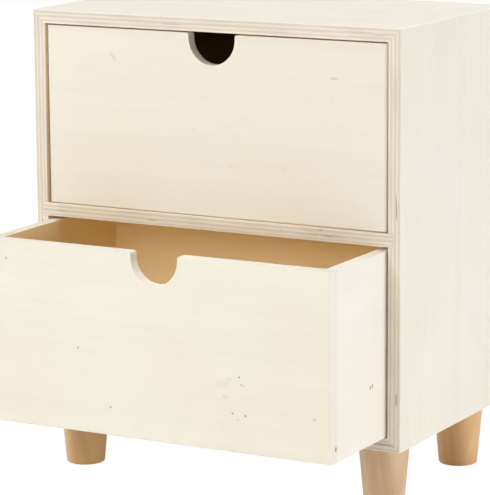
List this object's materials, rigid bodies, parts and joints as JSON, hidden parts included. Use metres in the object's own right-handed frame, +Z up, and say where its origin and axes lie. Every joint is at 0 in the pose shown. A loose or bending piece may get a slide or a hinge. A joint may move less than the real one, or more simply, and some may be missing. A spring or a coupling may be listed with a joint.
{
  "type": "cd storage drawer",
  "caption": "Small plywood chest on turned legs, its mitred case split by a shelf into bays for box drawers with finger notches, the lower drawer standing open.",
  "frame": {"origin": "on the floor under the legs, midway between the sides, and midway between the face of the open lower drawer and the back of the case", "axes": "+X to the viewer's right, +Y from the drawer fronts to the back, +Z up"},
  "size_m": [0.3, 0.258, 0.345],
  "materials": {
    "case_plywood": "sanded bare seven-ply plywood with pale face veneer",
    "drawer_plywood": "sanded bare plywood with pale face veneer",
    "thin_plywood": "bare thin plywood",
    "beech": "bare turned beech",
    "plated_steel": "zinc plated"
  },
  "bodies": {
    "case": {"case_top": "case_plywood", "case_bottom": "case_plywood", "case_left_side": "case_plywood", "case_right_side": "case_plywood", "middle_shelf": "case_plywood", "back_panel": "thin_plywood", "back_panel_brads": "plated_steel", "front_left_leg": "beech", "front_right_leg": "beech", "rear_left_leg": "beech", "rear_right_leg": "beech", "leg_screws": "plated_steel"},
    "upper_drawer": {"upper_drawer_front": "drawer_plywood", "upper_drawer_back": "drawer_plywood", "upper_drawer_left_side": "drawer_plywood", "upper_drawer_right_side": "drawer_plywood", "upper_drawer_bottom": "thin_plywood"},
    "lower_drawer": {"lower_drawer_front": "drawer_plywood", "lower_drawer_back": "drawer_plywood", "lower_drawer_left_side": "drawer_plywood", "lower_drawer_right_side": "drawer_plywood", "lower_drawer_bottom": "thin_plywood"}
  },
  "joints": [
    {"name": "upper_drawer_slide", "type": "slide", "parent": "case", "child": "upper_drawer", "axis": [0, -1, 0], "range_m": [0, 0.12]},
    {"name": "lower_drawer_slide", "type": "slide", "parent": "case", "child": "lower_drawer", "axis": [0, -1, 0], "range_m": [-0.084, 0.036]}
  ]
}
